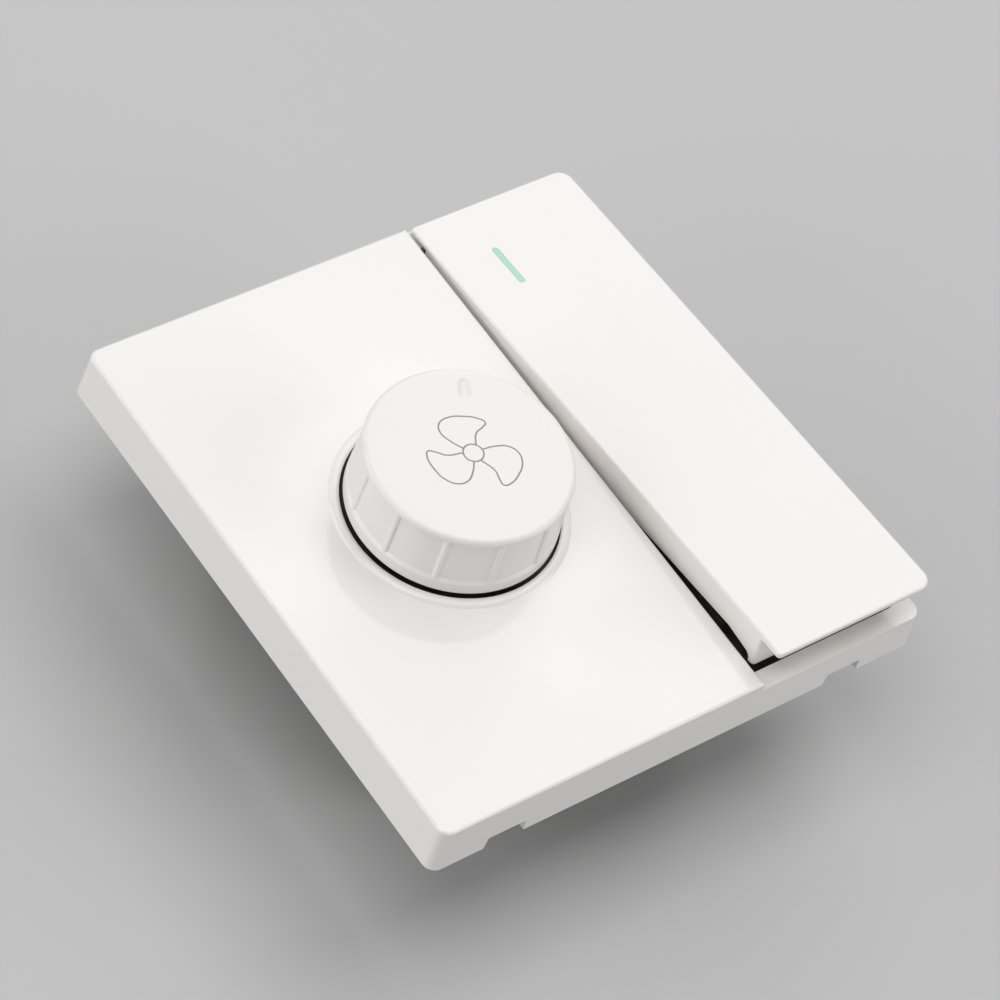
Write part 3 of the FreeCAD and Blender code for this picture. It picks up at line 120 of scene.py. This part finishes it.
mouldedGrain = {
    "flowDetail": 4.0,
    "flowRoughness": 0.55,
    "skinDetail": 2.0,
}


def buildMouldedGroup():
    # Slight mottling of the pigment, uneven gloss and the fine skin of a moulded surface
    group = bpy.data.node_groups.new("mouldedSkin", "ShaderNodeTree")
    addInputs(group, (
        ("Colour", "NodeSocketColor", (0.8, 0.8, 0.8, 1.0)),
        ("Mottle", "NodeSocketFloat", 0.02),
        ("Roughness", "NodeSocketFloat", 0.25),
        ("Roughness Spread", "NodeSocketFloat", 0.05),
        ("Flow Scale", "NodeSocketFloat", 30.0),
        ("Skin Scale", "NodeSocketFloat", 600.0),
    ))
    addSurfaceOutputs(group)
    start = group.nodes.new("NodeGroupInput")
    end = group.nodes.new("NodeGroupOutput")
    place = group.nodes.new("ShaderNodeTexCoord").outputs["Object"]
    flow = addNoise(
        group, place, start.outputs["Flow Scale"],
        mouldedGrain["flowDetail"], mouldedGrain["flowRoughness"],
    )
    skin = addNoise(group, place, start.outputs["Skin Scale"], mouldedGrain["skinDetail"])
    centred = addMath(group, "SUBTRACT", flow, noiseMiddle)
    shift = addMath(group, "MULTIPLY", centred, start.outputs["Mottle"])
    brightness = addMath(group, "ADD", shift, 1.0)
    tint = group.nodes.new("ShaderNodeVectorMath")
    tint.operation = "SCALE"
    group.links.new(start.outputs["Colour"], tint.inputs[0])
    group.links.new(brightness, tint.inputs["Scale"])
    group.links.new(tint.outputs["Vector"], end.inputs["Colour"])
    spread = addMath(group, "MULTIPLY", centred, start.outputs["Roughness Spread"])
    roughness = addMath(group, "ADD", spread, start.outputs["Roughness"])
    group.links.new(roughness, end.inputs["Roughness"])
    group.links.new(skin, end.inputs["Height"])
    return group


metalGrain = {
    "streakScale": 900.0,
    "streakDetail": 3.0,
    "patchScale": 180.0,
    "patchDetail": 4.0,
    "noiseRoughness": 0.6,
    "roughnessSpread": 0.25,
    "grooveStrength": 0.4,
}
colourA, colourB, colourOut = 6, 7, 2  # the colour sockets of a Mix node


def buildMetalGroup():
    # Streaks of tooling or rolling along one axis, with patches of tarnish
    group = bpy.data.node_groups.new("workedMetal", "ShaderNodeTree")
    addInputs(group, (
        ("Colour", "NodeSocketColor", (0.7, 0.7, 0.7, 1.0)),
        ("Tarnish Colour", "NodeSocketColor", (0.4, 0.4, 0.4, 1.0)),
        ("Tarnish", "NodeSocketFloat", 0.3),
        ("Roughness", "NodeSocketFloat", 0.3),
        ("Streak Stretch", "NodeSocketVector", (1.0, 1.0, 1.0)),
    ))
    addSurfaceOutputs(group)
    start = group.nodes.new("NodeGroupInput")
    end = group.nodes.new("NodeGroupOutput")
    place = group.nodes.new("ShaderNodeTexCoord").outputs["Object"]
    stretch = group.nodes.new("ShaderNodeVectorMath")
    stretch.operation = "MULTIPLY"
    group.links.new(place, stretch.inputs[0])
    group.links.new(start.outputs["Streak Stretch"], stretch.inputs[1])
    streak = addNoise(
        group, stretch.outputs["Vector"], metalGrain["streakScale"],
        metalGrain["streakDetail"], metalGrain["noiseRoughness"],
    )
    patch = addNoise(
        group, place, metalGrain["patchScale"],
        metalGrain["patchDetail"], metalGrain["noiseRoughness"],
    )
    amount = addMath(group, "MULTIPLY", patch, start.outputs["Tarnish"])
    mix = group.nodes.new("ShaderNodeMix")
    mix.data_type = "RGBA"
    group.links.new(amount, mix.inputs["Factor"])
    group.links.new(start.outputs["Colour"], mix.inputs[colourA])
    group.links.new(start.outputs["Tarnish Colour"], mix.inputs[colourB])
    group.links.new(mix.outputs[colourOut], end.inputs["Colour"])
    centred = addMath(group, "SUBTRACT", streak, noiseMiddle)
    spread = addMath(group, "MULTIPLY", centred, metalGrain["roughnessSpread"])
    roughness = addMath(group, "ADD", spread, start.outputs["Roughness"])
    group.links.new(roughness, end.inputs["Roughness"])
    group.links.new(streak, end.inputs["Height"])
    return group


mouldedSkin = buildMouldedGroup()
workedMetal = buildMetalGroup()


def placeGroup(tree, group, values):
    node = tree.nodes.new("ShaderNodeGroup")
    node.node_tree = group
    for name, value in values.items():
        node.inputs[name].default_value = value
    return node


def finishSurface(tree, shader, group, bumpDistance, bumpStrength):
    tree.links.new(group.outputs["Colour"], shader.inputs["Base Color"])
    tree.links.new(group.outputs["Roughness"], shader.inputs["Roughness"])
    bump = tree.nodes.new("ShaderNodeBump")
    bump.inputs["Distance"].default_value = bumpDistance
    bump.inputs["Strength"].default_value = bumpStrength
    tree.links.new(group.outputs["Height"], bump.inputs["Height"])
    tree.links.new(bump.outputs["Normal"], shader.inputs["Normal"])


def mouldedPlastic(name, look):
    material, tree, shader = newMaterial(name)
    group = placeGroup(tree, mouldedSkin, {
        "Colour": (*look["colour"], 1.0),
        "Mottle": look["mottle"],
        "Roughness": look["roughness"],
        "Roughness Spread": look["roughnessSpread"],
        "Flow Scale": look["flowScale"],
        "Skin Scale": look["skinScale"],
    })
    finishSurface(tree, shader, group, look["skinDepth"], look["skinStrength"])
    shader.inputs["IOR"].default_value = look["ior"]
    return material


def metalSurface(name, look):
    material, tree, shader = newMaterial(name)
    group = placeGroup(tree, workedMetal, {
        "Colour": (*look["colour"], 1.0),
        "Tarnish Colour": (*look["tarnishColour"], 1.0),
        "Tarnish": look["tarnish"],
        "Roughness": look["roughness"],
        "Streak Stretch": look["stretch"],
    })
    finishSurface(tree, shader, group, look["grooveDepth"], metalGrain["grooveStrength"])
    shader.inputs["Metallic"].default_value = 1.0
    return material


# Plastics

whiteGlossLook = {
    "colour": (0.86, 0.838, 0.815),
    "mottle": 0.02,
    "roughness": 0.1,
    "roughnessSpread": 0.05,
    "flowScale": 45.0,
    "skinScale": 420.0,
    "skinDepth": 0.02 * mm,
    "skinStrength": 0.12,
    "ior": 1.5,
}
knobWhiteLook = dict(whiteGlossLook, colour=(0.84, 0.82, 0.8), roughness=0.3, skinScale=900.0)
mintLook = dict(
    whiteGlossLook, colour=(0.385, 0.69, 0.585), roughness=0.35, mottle=0.12, flowScale=500.0,
)
yellowCaseLook = dict(whiteGlossLook, colour=(0.72, 0.46, 0.04), roughness=0.3, mottle=0.1)
redCaseLook = dict(whiteGlossLook, colour=(0.34, 0.045, 0.02), roughness=0.18, mottle=0.12)
resistorLook = dict(whiteGlossLook, colour=(0.5, 0.36, 0.18), roughness=0.35, mottle=0.15)

blackMattLook = {
    "colour": (0.068, 0.063, 0.058),
    "mottle": 0.5,
    "roughness": 0.5,
    "roughnessSpread": 0.15,
    "flowScale": 90.0,
    "skinScale": 2600.0,
    "skinDepth": 0.05 * mm,
    "skinStrength": 0.35,
    "ior": 1.48,
}
resinLook = dict(blackMattLook, colour=(0.03, 0.03, 0.032), roughness=0.42)
carbonLook = dict(blackMattLook, colour=(0.012, 0.012, 0.012), roughness=0.3)
ferriteLook = dict(blackMattLook, colour=(0.05, 0.05, 0.052), roughness=0.6, mottle=0.6)
laminateLook = dict(
    blackMattLook, colour=(0.42, 0.22, 0.07), mottle=0.25, roughness=0.38, flowScale=300.0,
)
trackLook = dict(laminateLook, colour=(0.2, 0.09, 0.035))

# Metals

zincLook = {
    "colour": (0.66, 0.65, 0.61),
    "tarnishColour": (0.45, 0.44, 0.36),
    "tarnish": 0.5,
    "roughness": 0.3,
    "stretch": (1.0, 1.0, 0.2),  # streaks are drawn out along the axes with small numbers
    "grooveDepth": 0.02 * mm,
}
springLook = dict(zincLook, colour=(0.5, 0.5, 0.5), roughness=0.24)
shaftLook = dict(zincLook, colour=(0.74, 0.74, 0.74), stretch=(0.1, 0.1, 1.0), roughness=0.28)
brassLook = dict(
    zincLook, colour=(0.78, 0.55, 0.22), tarnishColour=(0.5, 0.3, 0.1), roughness=0.26,
)
wireLook = dict(
    brassLook, colour=(0.62, 0.26, 0.1), tarnishColour=(0.4, 0.14, 0.05), roughness=0.2,
)
copperLook = dict(
    zincLook, colour=(0.8, 0.42, 0.24), tarnishColour=(0.45, 0.2, 0.1), stretch=(1.0, 0.15, 1.0),
)
silverLook = dict(
    zincLook, colour=(0.86, 0.85, 0.82), tarnishColour=(0.6, 0.56, 0.5), roughness=0.22,
)
capLook = dict(silverLook, roughness=0.16)
sinkLook = dict(
    zincLook, colour=(0.72, 0.73, 0.74), tarnishColour=(0.6, 0.6, 0.6), stretch=(0.1, 1.0, 1.0),
)

# Glass

clearGlassLook = {"colour": (0.92, 0.95, 0.93), "haze": 0.06, "hazeScale": 250.0, "ior": 1.5}
blueGlassLook = {"colour": (0.12, 0.3, 0.7), "haze": 0.1, "hazeScale": 400.0, "ior": 1.5}


def glassSurface(name, look):
    material, tree, shader = newMaterial(name)
    place = tree.nodes.new("ShaderNodeTexCoord").outputs["Object"]
    haze = addNoise(tree, place, look["hazeScale"])
    tree.links.new(addMath(tree, "MULTIPLY", haze, look["haze"]), shader.inputs["Roughness"])
    shader.inputs["Base Color"].default_value = (*look["colour"], 1.0)
    shader.inputs["Transmission Weight"].default_value = 1.0
    shader.inputs["IOR"].default_value = look["ior"]
    return material


# Each material slot of the CAD model gets its finish

materials = {
    "white_plastic": mouldedPlastic("whiteGloss", whiteGlossLook),
    "black_plastic": mouldedPlastic("blackMatt", blackMattLook),
    "mint_lens": mouldedPlastic("mintLens", mintLook),
    "black_resin": mouldedPlastic("blackResin", resinLook),
    "yellow_case": mouldedPlastic("yellowCase", yellowCaseLook),
    "red_case": mouldedPlastic("redCase", redCaseLook),
    "board_laminate": mouldedPlastic("boardLaminate", laminateLook),
    "track_laminate": mouldedPlastic("trackLaminate", trackLook),
    "carbon_film": mouldedPlastic("carbonFilm", carbonLook),
    "ferrite": mouldedPlastic("ferrite", ferriteLook),
    "resistor_body": mouldedPlastic("resistorBody", resistorLook),
    "zinc_steel": metalSurface("zincSteel", zincLook),
    "spring_steel": metalSurface("springSteel", springLook),
    "brass": metalSurface("brass", brassLook),
    "copper_strip": metalSurface("copperStrip", copperLook),
    "contact_silver": metalSurface("contactSilver", silverLook),
    "shaft_metal": metalSurface("turnedShaft", shaftLook),
    "sink_metal": metalSurface("sinkMetal", sinkLook),
    "enamelled_wire": metalSurface("enamelledWire", wireLook),
    "plated_caps": metalSurface("platedCaps", capLook),
    "clear_glass": glassSurface("clearGlass", clearGlassLook),
    "blue_glass": glassSurface("blueGlass", blueGlassLook),
}
knobWhite = mouldedPlastic("knobWhite", knobWhiteLook)


def setMaterial(piece, material):
    piece.data.materials.clear()
    piece.data.materials.append(material)


slotOf = {row["node"]: row["material_slot"] for row in frame["record"]["subparts"]}
for name, piece in nodes.items():
    setMaterial(piece, materials[slotOf[name]])
setMaterial(nodes["speed_knob"], knobWhite)  # less glossy than the cover and the rocker
print("materials made:", len(bpy.data.materials))


# Fan symbol printed on the knob

symbol = {
    "centre": (-9.7 * mm, -0.02 * mm),
    "hubRadius": 1.47 * mm,
    "hubKnots": 8,
    "lineWidth": 0.24 * mm,
    "lineHeight": 0.012 * mm,
    # Each blade: degrees round from the top, then width, height and lean against the outline below
    "blades": ((0.0, 1.0, 1.01, -0.167), (-118.7, 1.014, 1.039, 0.0), (119.0, 1.035, 0.99, 0.0)),
    "colour": (0.26, 0.25, 0.24),
    "roughness": 0.4,
    "stepsAlong": 12,
    "stepsRound": 2,
}
# One blade's outline from the hub round the tip and back, pointing up, in millimetres
bladeOutline = [
    (-0.70, 1.30), (-1.35, 3.15), (-1.45, 4.9), (-0.5, 6.2), (1.2, 6.55),
    (3.3, 5.8), (4.9, 4.5), (5.2, 3.6), (4.3, 3.1), (2.85, 2.65), (1.2, 0.9),
]


def lineCurve(name, points, closed):
    curve = bpy.data.curves.new(name, "CURVE")
    curve.dimensions = "3D"
    curve.resolution_u = symbol["stepsAlong"]
    curve.bevel_depth = symbol["lineWidth"] / 2
    curve.bevel_resolution = symbol["stepsRound"]
    spline = curve.splines.new("BEZIER")
    spline.bezier_points.add(len(points) - 1)
    spline.use_cyclic_u = closed
    for knot, (x, y) in zip(spline.bezier_points, points):
        knot.co = (x, y, 0.0)
        knot.handle_left_type = "AUTO"
        knot.handle_right_type = "AUTO"
    return curve


def curveIntoMesh(bm, curve, matrix):
    holder = bpy.data.objects.new(curve.name, curve)
    bpy.context.scene.collection.objects.link(holder)
    mesh = bpy.data.meshes.new_from_object(holder)
    mesh.transform(matrix)
    bm.from_mesh(mesh)
    bpy.data.objects.remove(holder)
    bpy.data.meshes.remove(mesh)


def hubPoints():
    radius, count = symbol["hubRadius"], symbol["hubKnots"]
    angles = [2 * math.pi * k / count for k in range(count)]
    return [(radius * math.cos(angle), radius * math.sin(angle)) for angle in angles]


def buildFanSymbol():
    bm = bmesh.new()
    for angle, width, height, lean in symbol["blades"]:
        points = [((x + lean * y) * width * mm, y * height * mm) for x, y in bladeOutline]
        turn = Matrix.Rotation(math.radians(angle), 4, "Z")
        curveIntoMesh(bm, lineCurve("bladeLine", points, False), turn)
    curveIntoMesh(bm, lineCurve("hubLine", hubPoints(), True), Matrix.Identity(4))
    flatten = symbol["lineHeight"] / (symbol["lineWidth"] / 2)
    bmesh.ops.scale(bm, vec=(1.0, 1.0, flatten), verts=bm.verts)
    bmesh.ops.translate(bm, vec=(*symbol["centre"], knobTop), verts=bm.verts)
    bmesh.ops.recalc_face_normals(bm, faces=bm.faces)
    mesh = bpy.data.meshes.new("fanSymbol")
    bm.to_mesh(mesh)
    bm.free()
    piece = bpy.data.objects.new("fanSymbol", mesh)
    bpy.context.scene.collection.objects.link(piece)
    inkLook = dict(whiteGlossLook, colour=symbol["colour"], roughness=symbol["roughness"])
    setMaterial(piece, mouldedPlastic("greyInk", inkLook))
    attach(piece, "knob")


buildFanSymbol()
print("fan symbol drawn")


# Floor, lights and camera

studio = {
    "floorColour": (0.56, 0.56, 0.56),
    "floorHalfSize": 3.0,
    "floorRoughness": 0.9,
    "floorGloss": 0.1,
    "backdropStrength": 0.53,
    "worldStrength": 0.1,
    "boxDistance": 1.2,
    # Each softbox: degrees round from +X, degrees up, watts, width
    "softboxes": (
        (45, 45, 2.7, 0.7), (0, 70, 3.8, 0.7), (180, 70, 4.4, 0.7), (315, 20, 4.4, 0.7),
        (180, 20, 3.3, 0.7), (135, 20, 3.3, 0.7), (225, 20, 0.7, 0.7), (45, 20, 1.5, 0.35),
    ),
}


def buildFloor():
    bm = bmesh.new()
    bmesh.ops.create_grid(bm, x_segments=1, y_segments=1, size=studio["floorHalfSize"])
    bmesh.ops.translate(bm, vec=(0.0, 0.0, cadLow.z), verts=bm.verts)
    mesh = bpy.data.meshes.new("floor")
    bm.to_mesh(mesh)
    bm.free()
    floor = bpy.data.objects.new("floor", mesh)
    bpy.context.scene.collection.objects.link(floor)
    material, _, shader = newMaterial("paleFloor")
    shader.inputs["Base Color"].default_value = (*studio["floorColour"], 1.0)
    shader.inputs["Roughness"].default_value = studio["floorRoughness"]
    shader.inputs["Specular IOR Level"].default_value = studio["floorGloss"]
    setMaterial(floor, material)


def addSoftbox(azimuth, elevation, power, width):
    light = bpy.data.lights.new("softbox", "AREA")
    light.shape = "SQUARE"
    light.size = width
    light.energy = power
    lamp = bpy.data.objects.new("softbox", light)
    level = math.cos(math.radians(elevation))
    direction = Vector((
        math.cos(math.radians(azimuth)) * level,
        math.sin(math.radians(azimuth)) * level,
        math.sin(math.radians(elevation)),
    ))
    lamp.location = direction * studio["boxDistance"]
    lamp.rotation_euler = (-direction).to_track_quat("-Z", "Y").to_euler()
    bpy.context.scene.collection.objects.link(lamp)


def buildWorld():
    # The camera, reflections and glass see a grey backdrop; a weaker share of it lights the part
    world = bpy.data.worlds.new("studioWorld")
    bpy.context.scene.world = world
    world.use_nodes = True
    tree = world.node_tree
    background = tree.nodes["Background"]
    background.inputs["Color"].default_value = (1.0, 1.0, 1.0, 1.0)
    rays = tree.nodes.new("ShaderNodeLightPath")
    seen = addMath(tree, "MAXIMUM", rays.outputs["Is Camera Ray"], rays.outputs["Is Glossy Ray"])
    seen = addMath(tree, "MAXIMUM", seen, rays.outputs["Is Transmission Ray"])
    extra = addMath(tree, "MULTIPLY", seen, studio["backdropStrength"] - studio["worldStrength"])
    strength = addMath(tree, "ADD", extra, studio["worldStrength"])
    tree.links.new(strength, background.inputs["Strength"])


buildFloor()
buildWorld()
for softbox in studio["softboxes"]:
    addSoftbox(*softbox)

# The photograph's viewpoint in degrees and metres, with the lens and sensor in millimetres
view = {
    "azimuth": -52.65,
    "elevation": 50.31,
    "roll": 21.83,
    "distance": 607.4 * mm,
    "target": (-3.015 * mm, -2.171 * mm, 8.0 * mm),
    "lens": 156.66,
    "sensor": 36.0,
}


def buildCamera():
    azimuth = math.radians(view["azimuth"])
    elevation = math.radians(view["elevation"])
    back = Vector((
        math.sin(azimuth) * math.cos(elevation),
        -math.cos(azimuth) * math.cos(elevation),
        math.sin(elevation),
    ))
    data = bpy.data.cameras.new("camera")
    data.sensor_width = view["sensor"]
    data.lens = view["lens"]
    camera = bpy.data.objects.new("camera", data)
    camera.location = Vector(view["target"]) + back * view["distance"]
    camera.rotation_mode = "QUATERNION"
    turn = Quaternion((0.0, 0.0, 1.0), math.radians(view["roll"]))
    camera.rotation_quaternion = (-back).to_track_quat("-Z", "Y") @ turn
    bpy.context.scene.collection.objects.link(camera)
    bpy.context.scene.camera = camera


buildCamera()
bpy.context.scene.view_settings.view_transform = "Standard"
print("studio built")
